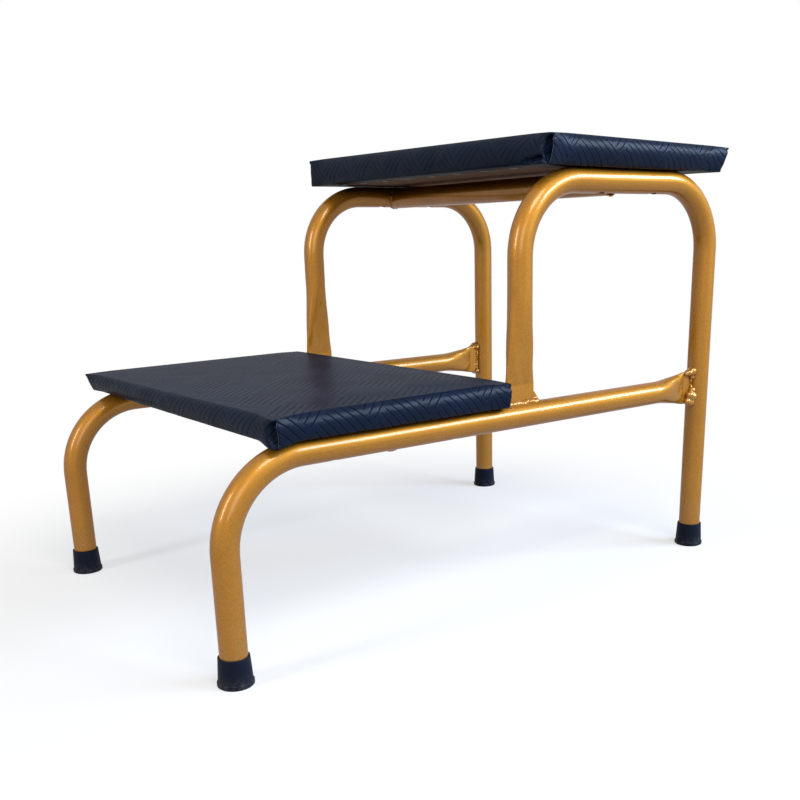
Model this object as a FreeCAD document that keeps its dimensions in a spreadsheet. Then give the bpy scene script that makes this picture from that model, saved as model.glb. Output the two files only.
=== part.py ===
"""Two-step clinic stool: bent tube frame, two padded steps and four rubber tips.

Frame: +Z up, origin on the floor under the middle of the stool, front of the
stool towards -Y, right side towards +X. All lengths are in millimetres.
"""
import FreeCAD, Part
import Sketcher
import math
import os

Vector = FreeCAD.Vector

doc = FreeCAD.newDocument("StepStool")
sheet = doc.addObject("Spreadsheet::Sheet", "Sizes")

# Driving dimensions
SIZES = {
    # Steel tube of the frame
    "tube_od": 22.2,
    "tube_wall": 1.2,
    "frame_width": 348.8,
    # Lower side tube: front leg, bend, rail, pressed rear end
    "front_leg_straight": 99.0,
    "rail_bend_radius": 69.5,
    "rail_straight": 403.0,
    "rail_flare_length": 48.0,
    "rail_tab_length": 13.0,
    "tab_thickness": 3.0,
    # Arch tube: pressed post foot, post, top run, rear leg
    "post_tab_height": 16.5,
    "post_flare_length": 85.0,
    "post_straight": 24.8,
    "arch_bend_radius": 64.0,
    "top_run": 123.0,
    # Crossbars
    "upper_crossbar_setback": 112.7,
    "crossbar_drop": 1.5,
    "crossbar_ear_trim": 5.0,
    # Weld beads
    "bead_size": 2.6,
    "bead_reach": 8.5,
    "rail_weld_radius": 5.0,
    "rail_weld_inset": 2.0,
    "post_weld_radius": 3.2,
    "post_weld_overrun": 3.0,
    "post_fin_length": 8.0,
    "post_fin_height": 9.5,
    # Rubber tips
    "foot_height": 24.0,
    "foot_floor": 5.0,
    "foot_wall": 1.3,
    "foot_flare": 2.0,
    "foot_rim_height": 3.5,
    "foot_edge": 0.8,
    "foot_clearance": 0.1,
    # Padded steps
    "step_overhang": 16.5,
    "step_depth": 238.4,
    "board_thickness": 15.0,
    "lower_foam_thickness": 3.6,
    "upper_foam_thickness": 9.0,
    "foam_edge": 3.0,
    "vinyl_thickness": 1.0,
    "step_draw_in": 4.0,
    "step_corner_radius": 8.0,
    "step_top_radius": 6.5,
    "step_bottom_radius": 3.5,
    "cover_fold_width": 36.0,
    "front_fold_width": 17.0,
    "lower_step_gap": 2.2,
    "upper_step_setback": 11.3,
    # Step screws
    "screw_diameter": 4.0,
    "screw_length": 14.0,
    "screw_head_diameter": 8.5,
    "screw_head_height": 2.6,
    "screw_clearance": 0.25,
    "screw_seat_clearance": 0.05,
    "access_hole_diameter": 10.0,
    "lower_screw_spacing": 120.0,
    "upper_screw_spacing": 70.0,
    # Cover staples
    "staple_crown": 10.0,
    "staple_wire": 0.7,
    "staple_strip": 1.0,
    "staple_leg": 8.0,
    "staple_inset": 29.0,
    "front_staple_inset": 12.5,
    "staple_pitch": 40.0,
}
STAPLES_ALONG_WIDTH = 8
STAPLES_ALONG_DEPTH = 4

# How near an edge must lie to a level to be picked there
EDGE_TOLERANCE = 0.01

# How a tube end goes from round to flat: share of the flare, share of the flattening
FLARE_PROFILE = ((0.0, 0.0), (0.35, 0.15), (0.7, 0.55), (1.0, 1.0))

for row, (alias, number) in enumerate(SIZES.items(), start=1):
    sheet.set(f"A{row}", alias)
    sheet.set(f"B{row}", str(number))
    sheet.setAlias(f"B{row}", alias)
doc.recompute()

# Places that follow from the driving dimensions
TUBE_RADIUS = "(Sizes.tube_od / 2)"
BORE_RADIUS = "(Sizes.tube_od / 2 - Sizes.tube_wall)"
TAB_WIDTH = "(Sizes.tab_thickness + pi * (Sizes.tube_od - Sizes.tab_thickness) / 2)"
RAIL_Z = "(Sizes.foot_floor + Sizes.front_leg_straight + Sizes.rail_bend_radius)"
LEG_SPAN = (f"(Sizes.rail_bend_radius + Sizes.rail_straight + Sizes.rail_flare_length"
            f" + Sizes.rail_tab_length + {TUBE_RADIUS})")
FRONT_Y = f"(-{LEG_SPAN} / 2)"
REAR_Y = f"({LEG_SPAN} / 2)"
RAIL_TAB_Y = f"({REAR_Y} - {TUBE_RADIUS} - Sizes.rail_tab_length)"
RAIL_FLARE_Y = f"({RAIL_TAB_Y} - Sizes.rail_flare_length)"
POST_Y = f"({REAR_Y} - 2 * Sizes.arch_bend_radius - Sizes.top_run)"
RAIL_CREST_Z = f"({RAIL_Z} + {TUBE_RADIUS})"
POST_TAB_Z = f"({RAIL_CREST_Z} + Sizes.post_tab_height)"
POST_FLARE_Z = f"({POST_TAB_Z} + Sizes.post_flare_length)"
ARCH_Z = f"({POST_FLARE_Z} + Sizes.post_straight + Sizes.arch_bend_radius)"
ARCH_CREST_Z = f"({ARCH_Z} + {TUBE_RADIUS})"
STEP_WIDTH = "(Sizes.frame_width + 2 * Sizes.step_overhang)"
LOWER_STEP_Y = f"({POST_Y} - {TAB_WIDTH} / 2 - Sizes.lower_step_gap - Sizes.step_depth / 2)"
UPPER_STEP_Y = f"({POST_Y} + Sizes.upper_step_setback + Sizes.step_depth / 2)"
UPPER_CROSSBAR_Y = f"({POST_Y} + Sizes.upper_crossbar_setback)"
FOOT_BORE_RADIUS = f"({TUBE_RADIUS} + Sizes.foot_clearance)"
SCREW_HOLE_RADIUS = "(Sizes.screw_diameter / 2 + Sizes.screw_clearance)"
SIDES = (("left", -1), ("right", 1))

nodes = {}


def size(expression):
    """Number that an expression of the sheet gives now."""
    return float(sheet.evalExpression(expression))


def bind(item, **expressions):
    """Bind properties of an object to expressions; __ in a name stands for a dot."""
    for name, expression in expressions.items():
        item.setExpression(name.replace("__", "."), expression)
    return item


def place(item, x="0", y="0", z="0"):
    """Bind the position of an object."""
    return bind(item, Placement__Base__x=x, Placement__Base__y=y, Placement__Base__z=z)


def keep(label, item):
    """Note an object as a finished sub-part under its own label."""
    item.Label = label
    nodes[label] = item
    return item


def add_body(name):
    return doc.addObject("PartDesign::Body", name)


def origin_part(body, role):
    """Origin plane or axis of a body."""
    for feature in body.Origin.OriginFeatures:
        if feature.Role == role:
            return feature
    raise ValueError(f"no origin feature {role}")


def add_sketch(body, name, role, up="0", along="0"):
    """Sketch on an origin plane, moved along its normal and along its own y axis."""
    sketch = body.newObject("Sketcher::SketchObject", name)
    sketch.AttachmentSupport = [(origin_part(body, role), "")]
    sketch.MapMode = "FlatFace"
    bind(sketch, AttachmentOffset__Base__z=up, AttachmentOffset__Base__y=along)
    return sketch


def dimension(sketch, kind, expression, *where):
    """Dimensional constraint bound to an expression."""
    index = sketch.addConstraint(Sketcher.Constraint(kind, *where, size(expression)))
    sketch.setExpression(f"Constraints[{index}]", expression)


def at_point(sketch, geometry, end, x, y):
    """Hold one end of a sketch element at a place measured from the sketch origin."""
    dimension(sketch, "DistanceX", x, -1, 1, geometry, end)
    dimension(sketch, "DistanceY", y, -1, 1, geometry, end)


def add_polygon(sketch, corners):
    """Closed outline through corners that are given as pairs of expressions."""
    points = [Vector(size(x), size(y), 0) for x, y in corners]
    count = len(points)
    for i in range(count):
        sketch.addGeometry(Part.LineSegment(points[i], points[(i + 1) % count]))
    for i in range(count):
        sketch.addConstraint(Sketcher.Constraint("Coincident", i, 2, (i + 1) % count, 1))
    for i, (x, y) in enumerate(corners):
        at_point(sketch, i, 1, x, y)


def add_circle(sketch, x, y, radius):
    circle = Part.Circle(Vector(size(x), size(y), 0), Vector(0, 0, 1), size(radius))
    index = sketch.addGeometry(circle)
    at_point(sketch, index, 3, x, y)
    dimension(sketch, "Radius", radius, index)


def add_flat_ring(sketch, thickness, width):
    """Slot outline, thin along the sketch's x axis, long along its y axis."""
    radius = size(f"{thickness} / 2")
    reach = size(f"({width} - {thickness}) / 2")
    first = sketch.GeometryCount
    normal = Vector(0, 0, 1)
    top = Part.Circle(Vector(0, reach, 0), normal, radius)
    bottom = Part.Circle(Vector(0, -reach, 0), normal, radius)
    sketch.addGeometry(Part.ArcOfCircle(top, 0, math.pi))
    sketch.addGeometry(Part.LineSegment(Vector(-radius, reach, 0), Vector(-radius, -reach, 0)))
    sketch.addGeometry(Part.ArcOfCircle(bottom, math.pi, 2 * math.pi))
    sketch.addGeometry(Part.LineSegment(Vector(radius, -reach, 0), Vector(radius, reach, 0)))
    for i in range(4):
        sketch.addConstraint(Sketcher.Constraint("Tangent", first + i, 2, first + (i + 1) % 4, 1))
    at_point(sketch, first, 3, "0", f"({width} - {thickness}) / 2")
    at_point(sketch, first + 2, 3, "0", f"-({width} - {thickness}) / 2")
    dimension(sketch, "Radius", f"{thickness} / 2", first)


def add_path(sketch, corners, radius):
    """Square-cornered route with a bend of one radius at each inner corner."""
    points = [Vector(size(x), size(y), 0) for x, y in corners]
    bend = size(radius)
    last = len(points) - 2
    steps = [(points[i + 1] - points[i]).normalize() for i in range(last + 1)]
    for i in range(last + 1):
        start = points[i] + steps[i] * (bend if i > 0 else 0)
        end = points[i + 1] - steps[i] * (bend if i < last else 0)
        sketch.addGeometry(Part.LineSegment(start, end))
        upright = abs(steps[i].x) < 0.5
        sketch.addConstraint(Sketcher.Constraint("Vertical" if upright else "Horizontal", i))
        if upright or i in (0, last):
            dimension(sketch, "DistanceX", corners[i + (i == last)][0], -1, 1, i, 1 + (i == last))
        if not upright or i in (0, last):
            dimension(sketch, "DistanceY", corners[i + (i == last)][1], -1, 1, i, 1 + (i == last))
    for i in range(last):
        centre = points[i + 1] - steps[i] * bend + steps[i + 1] * bend
        circle = Part.Circle(centre, Vector(0, 0, 1), bend)
        angles = [math.atan2(-step.y, -step.x) for step in (steps[i + 1], steps[i] * -1)]
        turns_left = steps[i].cross(steps[i + 1]).z > 0
        first, second = angles if turns_left else angles[::-1]
        arc = sketch.addGeometry(Part.ArcOfCircle(circle, first, second))
        start, end = (1, 2) if turns_left else (2, 1)
        sketch.addConstraint(Sketcher.Constraint("Tangent", i, 2, arc, start))
        sketch.addConstraint(Sketcher.Constraint("Tangent", arc, end, i + 1, 1))
        dimension(sketch, "Radius", radius, arc)


def bent_tube(body, name, corners, radius):
    """Hollow tube swept along a route in the body's YZ plane, from its first corner."""
    route = add_sketch(body, name + "_route", "YZ_Plane")
    add_path(route, corners, radius)
    ring = add_sketch(body, name + "_ring", "XY_Plane", up=corners[0][1], along=corners[0][0])
    add_circle(ring, "0", "0", TUBE_RADIUS)
    add_circle(ring, "0", "0", BORE_RADIUS)
    doc.recompute()
    tube = body.newObject("PartDesign::AdditivePipe", name + "_tube")
    tube.Profile = ring
    tube.Spine = (route, [f"Edge{i + 1}" for i in range(route.GeometryCount)])
    doc.recompute()


def flattened_end(body, name, plane, up, step_sign, along, flare, tab):
    """Tube end pressed flat: a flare from round to slot, then a flat tab."""
    sections = []
    for number, (travel, share) in enumerate(FLARE_PROFILE):
        place_up = f"{up} + ({step_sign}) * {flare} * {travel}"
        section = add_sketch(body, f"{name}_section_{number}", plane, place_up, along)
        if share == 0:
            add_circle(section, "0", "0", TUBE_RADIUS)
            add_circle(section, "0", "0", BORE_RADIUS)
        else:
            thick = f"(Sizes.tube_od - {share} * (Sizes.tube_od - Sizes.tab_thickness))"
            wide = f"({thick} + pi * (Sizes.tube_od - {thick}) / 2)"
            add_flat_ring(section, thick, wide)
            add_flat_ring(section, f"({thick} - 2 * Sizes.tube_wall)", f"({wide} - 2 * Sizes.tube_wall)")
        sections.append(section)
    doc.recompute()
    loft = body.newObject("PartDesign::AdditiveLoft", name + "_flare")
    loft.Profile = sections[0]
    loft.Sections = sections[1:]
    doc.recompute()
    pad = body.newObject("PartDesign::Pad", name + "_tab")
    pad.Profile = sections[-1]
    pad.Reversed = True
    bind(pad, Length=tab)
    doc.recompute()


def screw_holes(body, name, z, y, spacing):
    """Small holes in the tube's upper wall for screws, wide ones below for the tool."""
    for part, radius, upward in (("screw", SCREW_HOLE_RADIUS, True),
                                 ("access", "Sizes.access_hole_diameter / 2", False)):
        sketch = add_sketch(body, f"{name}_{part}_circles", "XY_Plane", up=z)
        for sign in ("-", "+"):
            add_circle(sketch, "0", f"({y} {sign} {spacing} / 2)", radius)
        doc.recompute()
        before = body.Shape.Volume
        pocket = body.newObject("PartDesign::Pocket", f"{name}_{part}_holes")
        pocket.Profile = sketch
        pocket.Reversed = upward
        bind(pocket, Length="Sizes.tube_od")
        doc.recompute()
        if body.Shape.Volume >= before:
            raise ValueError(f"{name} {part} holes cut nothing")


def rail_tube(side, sign):
    """Front leg, bend and rail in one tube whose rear end is pressed flat."""
    body = place(add_body(f"rail_tube_{side}"), x=f"{sign} * Sizes.frame_width / 2")
    corners = ((FRONT_Y, "Sizes.foot_floor"), (FRONT_Y, RAIL_Z), (RAIL_FLARE_Y, RAIL_Z))
    bent_tube(body, f"rail_{side}", corners, "Sizes.rail_bend_radius")
    flattened_end(body, f"rail_{side}", "XZ_Plane", f"-{RAIL_FLARE_Y}", -1, RAIL_Z,
                  "Sizes.rail_flare_length", "Sizes.rail_tab_length")
    screw_holes(body, f"rail_{side}", RAIL_Z, LOWER_STEP_Y, "Sizes.lower_screw_spacing")
    return keep(f"rail_tube_{side}", body)


def arch_tube(side, sign):
    """Post with a pressed foot, top run and rear leg in one tube."""
    body = place(add_body(f"arch_tube_{side}"), x=f"{sign} * Sizes.frame_width / 2")
    corners = ((POST_Y, POST_FLARE_Z), (POST_Y, ARCH_Z), (REAR_Y, ARCH_Z), (REAR_Y, "Sizes.foot_floor"))
    bent_tube(body, f"arch_{side}", corners, "Sizes.arch_bend_radius")
    flattened_end(body, f"arch_{side}", "XY_Plane", POST_FLARE_Z, -1, POST_Y,
                  "Sizes.post_flare_length", "Sizes.post_tab_height")
    screw_holes(body, f"arch_{side}", ARCH_Z, UPPER_STEP_Y, "Sizes.upper_screw_spacing")
    return keep(f"arch_tube_{side}", body)


def add_cylinder(name, radius, length, axis, x="0", y="0", z="0"):
    """Cylinder whose middle is at a place, along X, Y or Z."""
    cylinder = bind(doc.addObject("Part::Cylinder", name), Radius=radius, Height=length)
    turns = {
        "X": FreeCAD.Rotation(Vector(0, 1, 0), 90),
        "Y": FreeCAD.Rotation(Vector(1, 0, 0), -90),
        "Z": FreeCAD.Rotation(),
    }
    cylinder.Placement.Rotation = turns[axis]
    start = {"X": x, "Y": y, "Z": z}
    start[axis] = f"{start[axis]} - {length} / 2"
    return place(cylinder, start["X"], start["Y"], start["Z"])


def add_block(name, length, width, height, x="0", y="0", z="0"):
    """Box whose middle is at a place."""
    block = bind(doc.addObject("Part::Box", name), Length=length, Width=width, Height=height)
    return place(block, f"{x} - {length} / 2", f"{y} - {width} / 2", f"{z} - {height} / 2")


def cut(name, base, tools):
    """One solid less several others."""
    tool = doc.addObject("Part::Compound", name + "_tools")
    tool.Links = tools
    result = doc.addObject("Part::Cut", name)
    result.Base = base
    result.Tool = tool
    return result


def crossbar(level, y, tube_z):
    """Tube between the side tubes, its ends cut to saddle on them, with a bead at each end."""
    z = f"({tube_z} - Sizes.crossbar_drop)"
    length = "(Sizes.frame_width - 2 * Sizes.crossbar_ear_trim)"
    run = "(2 * Sizes.tube_od)"
    bar = add_cylinder(f"{level}_bar", TUBE_RADIUS, length, "X", y=y, z=z)
    bore = add_cylinder(f"{level}_bar_bore", BORE_RADIUS, "Sizes.frame_width", "X", y=y, z=z)
    tubes = {}
    for side, sign in SIDES:
        x = f"({sign} * Sizes.frame_width / 2)"
        tubes[side] = add_cylinder(f"{level}_saddle_{side}", TUBE_RADIUS, run, "Y", x, y, z=tube_z)
    keep(f"{level}_crossbar", cut(f"{level}_crossbar", bar, [bore, tubes["left"], tubes["right"]]))

    core = add_cylinder(f"{level}_bar_core", TUBE_RADIUS, "Sizes.frame_width", "X", y=y, z=z)
    wide = f"({TUBE_RADIUS} + Sizes.bead_size)"
    for side, sign in SIDES:
        x = f"({sign} * Sizes.frame_width / 2)"
        inner_x = f"({sign} * (Sizes.frame_width / 2 - {wide} / 2))"
        around_bar = add_cylinder(f"{level}_around_bar_{side}", wide, wide, "X", inner_x, y, z)
        around_tube = add_cylinder(f"{level}_around_tube_{side}", wide, run, "Y", x, y, tube_z)
        reach = add_block(f"{level}_bead_reach_{side}", wide, run, "2 * Sizes.bead_reach", inner_x, y, z)
        bead = doc.addObject("Part::MultiCommon", f"{level}_bead_{side}")
        bead.Shapes = [around_bar, around_tube, reach]
        label = f"{level}_crossbar_weld_{side}"
        keep(label, cut(label, bead, [core, tubes[side]]))


def rail_end_weld(side, sign):
    """Lumps of weld above and below where the flat rail end meets the rear leg."""
    x = f"({sign} * Sizes.frame_width / 2)"
    meet_y = f"({REAR_Y} - {TUBE_RADIUS})"
    lumps = []
    for end, way in (("top", 1), ("bottom", -1)):
        lump = doc.addObject("Part::Sphere", f"rail_lump_{end}_{side}")
        bind(lump, Radius="Sizes.rail_weld_radius")
        height = f"{RAIL_Z} + ({way}) * ({TAB_WIDTH} / 2 - Sizes.rail_weld_inset)"
        lumps.append(place(lump, x, meet_y, height))
    both = doc.addObject("Part::Compound", f"rail_lumps_{side}")
    both.Links = lumps
    leg = add_cylinder(f"rear_leg_core_{side}", TUBE_RADIUS, f"(2 * {TAB_WIDTH})", "Z", x, REAR_Y, RAIL_Z)
    tab = add_block(f"rail_tab_core_{side}", "Sizes.tab_thickness", "(2 * Sizes.rail_tab_length)",
                    TAB_WIDTH, x, meet_y, RAIL_Z)
    label = f"rail_end_weld_{side}"
    keep(label, cut(label, both, [leg, tab]))


def post_weld(side, sign):
    """Bead round the flat foot of the post on the rail, with a small fin behind it."""
    x = f"({sign} * Sizes.frame_width / 2)"
    length = f"({TAB_WIDTH} + 2 * Sizes.post_weld_overrun)"
    bead = add_cylinder(f"post_bead_{side}", "Sizes.post_weld_radius", length, "Y", x, POST_Y, RAIL_CREST_Z)

    fin = place(add_body(f"post_fin_{side}"), x=x)
    outline = add_sketch(fin, f"post_fin_outline_{side}", "YZ_Plane")
    tab_end = f"({POST_Y} + {TAB_WIDTH} / 2)"
    add_polygon(outline, ((tab_end, RAIL_Z),
                          (f"{tab_end} + Sizes.post_fin_length", RAIL_Z),
                          (f"{tab_end} + Sizes.post_fin_length", RAIL_CREST_Z),
                          (tab_end, f"{RAIL_CREST_Z} + Sizes.post_fin_height")))
    doc.recompute()
    fin_pad = fin.newObject("PartDesign::Pad", f"post_fin_pad_{side}")
    fin_pad.Profile = outline
    fin_pad.Midplane = True
    bind(fin_pad, Length="Sizes.tab_thickness")
    doc.recompute()

    joined = doc.addObject("Part::Fuse", f"post_bead_and_fin_{side}")
    joined.Base = bead
    joined.Tool = fin
    rail = add_cylinder(f"rail_core_{side}", TUBE_RADIUS, f"(2 * {TAB_WIDTH})", "Y", x, POST_Y, RAIL_Z)
    tab = add_block(f"post_tab_core_{side}", "Sizes.tab_thickness", TAB_WIDTH,
                    "(2 * Sizes.post_tab_height)", x, POST_Y, RAIL_CREST_Z)
    label = f"post_weld_{side}"
    keep(label, cut(label, joined, [rail, tab]))


def foot(end, side, sign, y):
    """Rubber tip turned about the leg's axis: socket, flared wall, rim and floor."""
    label = f"foot_{end}_{side}"
    body = place(add_body(label), x=f"{sign} * Sizes.frame_width / 2", y=y)
    outline = add_sketch(body, label + "_outline", "XZ_Plane")
    top = f"({FOOT_BORE_RADIUS} + Sizes.foot_wall)"
    base = f"({top} + Sizes.foot_flare)"
    corners = (("0", "0"),
               (f"{base} - Sizes.foot_edge", "0"),
               (base, "Sizes.foot_edge"),
               (base, "Sizes.foot_rim_height"),
               (f"{base} - Sizes.foot_edge", "Sizes.foot_rim_height + Sizes.foot_edge"),
               (top, "Sizes.foot_height - Sizes.foot_edge / 2"),
               (f"{top} - Sizes.foot_edge / 2", "Sizes.foot_height"),
               (FOOT_BORE_RADIUS, "Sizes.foot_height"),
               (FOOT_BORE_RADIUS, "Sizes.foot_floor"),
               ("0", "Sizes.foot_floor"))
    add_polygon(outline, corners)
    doc.recompute()
    turned = body.newObject("PartDesign::Revolution", label + "_turned")
    turned.Profile = outline
    turned.ReferenceAxis = (outline, ["V_Axis"])
    turned.Angle = 360
    doc.recompute()
    return keep(label, body)


def round_edges(body, name, radius, wanted):
    """Fillet the edges of a body that a test picks."""
    tip = body.Tip
    picked = [f"Edge{i + 1}" for i, edge in enumerate(tip.Shape.Edges) if wanted(edge)]
    fillet = body.newObject("PartDesign::Fillet", name)
    fillet.Base = (tip, picked)
    bind(fillet, Radius=radius)
    doc.recompute()


def step_block(name, y, z, inset, bottom, height, total, rounded):
    """Block of a step inside the step's outline: drawn-in flanks, rounded corners and rims.

    A block that isn't rounded has upright sides, with its inset measured at its underside.
    """
    body = place(add_body(name), y=y, z=z)
    slope = f"(Sizes.step_draw_in / {total})"
    levels = (bottom, f"{bottom} + {height}")
    halves = []
    for level in levels:
        rise = level if rounded else bottom
        below_rim = f"({total} - Sizes.step_top_radius - ({rise}))"
        rim_reach = f"(Sizes.step_top_radius * (sqrt(1 + {slope}^2) - 1))"
        for span in (STEP_WIDTH, "Sizes.step_depth"):
            halves.append(f"({span} / 2 - {below_rim} * {slope} + {rim_reach} - {inset})")
    # The wedge stands on the XZ plane, so its own Y is up and its own Z runs along the depth
    low_x, low_y, high_x, high_y = halves
    block = body.newObject("PartDesign::AdditiveWedge", name + "_block")
    block.AttachmentSupport = [(origin_part(body, "XZ_Plane"), "")]
    block.MapMode = "FlatFace"
    bind(block, Ymin=levels[0], Xmin=f"-{low_x}", Xmax=low_x, Zmin=f"-{low_y}", Zmax=low_y,
         Ymax=levels[1], X2min=f"-{high_x}", X2max=high_x, Z2min=f"-{high_y}", Z2max=high_y)
    doc.recompute()
    floor, ceiling = (size(level) for level in levels)

    def heights(edge):
        return [vertex.Point.z for vertex in edge.Vertexes]

    def is_upright(edge):
        return max(heights(edge)) - min(heights(edge)) > (ceiling - floor) / 2

    def is_top(edge):
        return min(heights(edge)) > ceiling - EDGE_TOLERANCE

    def is_bottom(edge):
        return max(heights(edge)) < floor + EDGE_TOLERANCE

    round_edges(body, name + "_corners", f"Sizes.step_corner_radius - {inset}", is_upright)
    if rounded:
        round_edges(body, name + "_top_rim", f"Sizes.step_top_radius - {inset}", is_top)
        round_edges(body, name + "_bottom_rim", f"Sizes.step_bottom_radius - {inset}", is_bottom)
    return body


def step_screws(level, y, z, spacing):
    """Four screws up from inside the side tubes into the board."""
    name = f"{level}_step_screws"
    body = place(add_body(name), y=y, z=z)
    seat = (f"(sqrt({BORE_RADIUS}^2 - (Sizes.screw_head_diameter / 2)^2) - {TUBE_RADIUS}"
            f" - Sizes.screw_seat_clearance)")
    head = "(Sizes.screw_head_diameter / 2)"
    shank = "(Sizes.screw_diameter / 2)"
    tip = f"({seat} + Sizes.screw_length)"
    # The first screw is drawn at the left front, and the patterns copy it to the others
    across = "(-Sizes.frame_width / 2)"
    outline = add_sketch(body, name + "_outline", "XZ_Plane", up=f"{spacing} / 2")
    add_polygon(outline, ((across, f"{seat} - Sizes.screw_head_height"),
                          (f"{across} + {head}", f"{seat} - Sizes.screw_head_height"),
                          (f"{across} + {head}", seat),
                          (f"{across} + {shank}", seat),
                          (f"{across} + {shank}", f"{tip} - {shank}"),
                          (across, tip)))
    doc.recompute()
    turned = body.newObject("PartDesign::Revolution", name + "_turned")
    turned.Profile = outline
    turned.ReferenceAxis = (outline, ["Edge6"])
    turned.Angle = 360
    doc.recompute()
    copies = body.newObject("PartDesign::MultiTransform", name + "_copies")
    patterns = []
    for role, length in (("X_Axis", "Sizes.frame_width"), ("Y_Axis", spacing)):
        pattern = body.newObject("PartDesign::LinearPattern", f"{name}_{role[0].lower()}")
        pattern.Direction = (origin_part(body, role), [""])
        pattern.Occurrences = 2
        bind(pattern, Length=length)
        patterns.append(pattern)
    copies.Originals = [turned]
    copies.Transformations = patterns
    body.Tip = copies
    doc.recompute()
    return keep(name, body)


def step_staples(level, y, z):
    """Staples driven up through the folded edge of the cover, in a row along each side."""
    name = f"{level}_step_staples"
    body = place(add_body(name), y=y, z=z)
    body.AllowCompound = True
    half_crown = "(Sizes.staple_crown / 2)"
    front_up = "(Sizes.step_depth / 2 - Sizes.front_staple_inset)"
    left_up = f"(Sizes.staple_inset - {STEP_WIDTH} / 2)"
    rows = (("front", "XZ_Plane", front_up, "X_Axis", STAPLES_ALONG_WIDTH),
            ("left", "YZ_Plane", left_up, "Y_Axis", STAPLES_ALONG_DEPTH))
    for row, plane, up, axis, count in rows:
        start = f"(-Sizes.staple_pitch * {count - 1} / 2)"
        outer = (f"{start} - {half_crown}", f"{start} + {half_crown}")
        inner = (f"{outer[0]} + Sizes.staple_wire", f"{outer[1]} - Sizes.staple_wire")
        outline = add_sketch(body, f"{name}_{row}_outline", plane, up=up)
        add_polygon(outline, ((outer[0], "-Sizes.staple_wire"), (outer[1], "-Sizes.staple_wire"),
                              (outer[1], "Sizes.staple_leg"), (inner[1], "Sizes.staple_leg"),
                              (inner[1], "0"), (inner[0], "0"),
                              (inner[0], "Sizes.staple_leg"), (outer[0], "Sizes.staple_leg")))
        doc.recompute()
        pad = body.newObject("PartDesign::Pad", f"{name}_{row}_pad")
        pad.Profile = outline
        pad.Midplane = True
        bind(pad, Length="Sizes.staple_strip")
        doc.recompute()
        copies = body.newObject("PartDesign::MultiTransform", f"{name}_{row}_copies")
        pattern = body.newObject("PartDesign::LinearPattern", f"{name}_{row}_pattern")
        pattern.Direction = (origin_part(body, axis), [""])
        pattern.Occurrences = count
        bind(pattern, Length=f"Sizes.staple_pitch * {count - 1}")
        mirrored = body.newObject("PartDesign::Mirrored", f"{name}_{row}_mirrored")
        mirrored.MirrorPlane = (origin_part(body, plane), [""])
        copies.Originals = [pad]
        copies.Transformations = [pattern, mirrored]
        body.Tip = copies
        doc.recompute()
    return keep(name, body)


def padded_step(level, y, z, foam, screw_spacing):
    """Board, foam over its top and sides, and a cover folded under and stapled."""
    board_inset = "(Sizes.vinyl_thickness + Sizes.foam_edge)"
    stuffing = f"(Sizes.board_thickness + {foam})"
    total = f"({stuffing} + 2 * Sizes.vinyl_thickness)"
    outer = step_block(f"{level}_cover_outside", y, z, "0", "0", total, total, True)
    filled = step_block(f"{level}_cover_inside", y, z, "Sizes.vinyl_thickness", "Sizes.vinyl_thickness",
                        stuffing, total, True)
    board = step_block(f"{level}_board_blank", y, z, board_inset, "Sizes.vinyl_thickness",
                       "Sizes.board_thickness", total, False)
    opening = add_block(f"{level}_cover_opening",
                        f"({STEP_WIDTH} - 2 * Sizes.cover_fold_width)",
                        "(Sizes.step_depth - 2 * Sizes.front_fold_width)",
                        "(4 * Sizes.vinyl_thickness)", y=y, z=z)
    screws = step_screws(level, y, z, screw_spacing)
    staples = step_staples(level, y, z)
    keep(f"{level}_step_board", cut(f"{level}_step_board", board, [screws, staples]))
    keep(f"{level}_step_foam", cut(f"{level}_step_foam", filled, [board]))
    keep(f"{level}_step_cover", cut(f"{level}_step_cover", outer, [filled, opening, screws, staples]))


for side, sign in SIDES:
    rail_tube(side, sign)
    arch_tube(side, sign)
    rail_end_weld(side, sign)
    post_weld(side, sign)
    foot("front", side, sign, FRONT_Y)
    foot("rear", side, sign, REAR_Y)
crossbar("lower", LOWER_STEP_Y, RAIL_Z)
crossbar("upper", UPPER_CROSSBAR_Y, ARCH_Z)
padded_step("lower", LOWER_STEP_Y, RAIL_CREST_Z, "Sizes.lower_foam_thickness", "Sizes.lower_screw_spacing")
padded_step("upper", UPPER_STEP_Y, ARCH_CREST_Z, "Sizes.upper_foam_thickness", "Sizes.upper_screw_spacing")
doc.recompute()

# Check every object before anything is written
for item in doc.Objects:
    if "Invalid" in item.State or "Error" in item.State:
        raise RuntimeError(f"{item.Label} failed: {item.State}")
for label, item in nodes.items():
    if item.Shape.isNull() or not item.Shape.isValid() or not item.Shape.Solids:
        raise RuntimeError(f"{label} has no valid solid")

os.makedirs("parts", exist_ok=True)
for label, item in sorted(nodes.items()):
    item.Shape.exportStep(f"parts/{label}.step")
    box = item.Shape.BoundBox
    print(f"{label}: {len(item.Shape.Solids)} solid(s), {item.Shape.Volume:.1f} mm3,"
          f" x {box.XMin:.2f} {box.XMax:.2f}, y {box.YMin:.2f} {box.YMax:.2f},"
          f" z {box.ZMin:.2f} {box.ZMax:.2f}")
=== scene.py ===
"""Looks of a two-step clinic stool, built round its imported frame.

Metres throughout, in the frame of the model: +Z up, front of the stool towards -Y.
"""
import math
import random
from dataclasses import dataclass
from functools import partial

import bmesh
import bpy
from bpy.props import FloatProperty, FloatVectorProperty, IntProperty, PointerProperty
from mathutils import Matrix, Vector, noise


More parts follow.
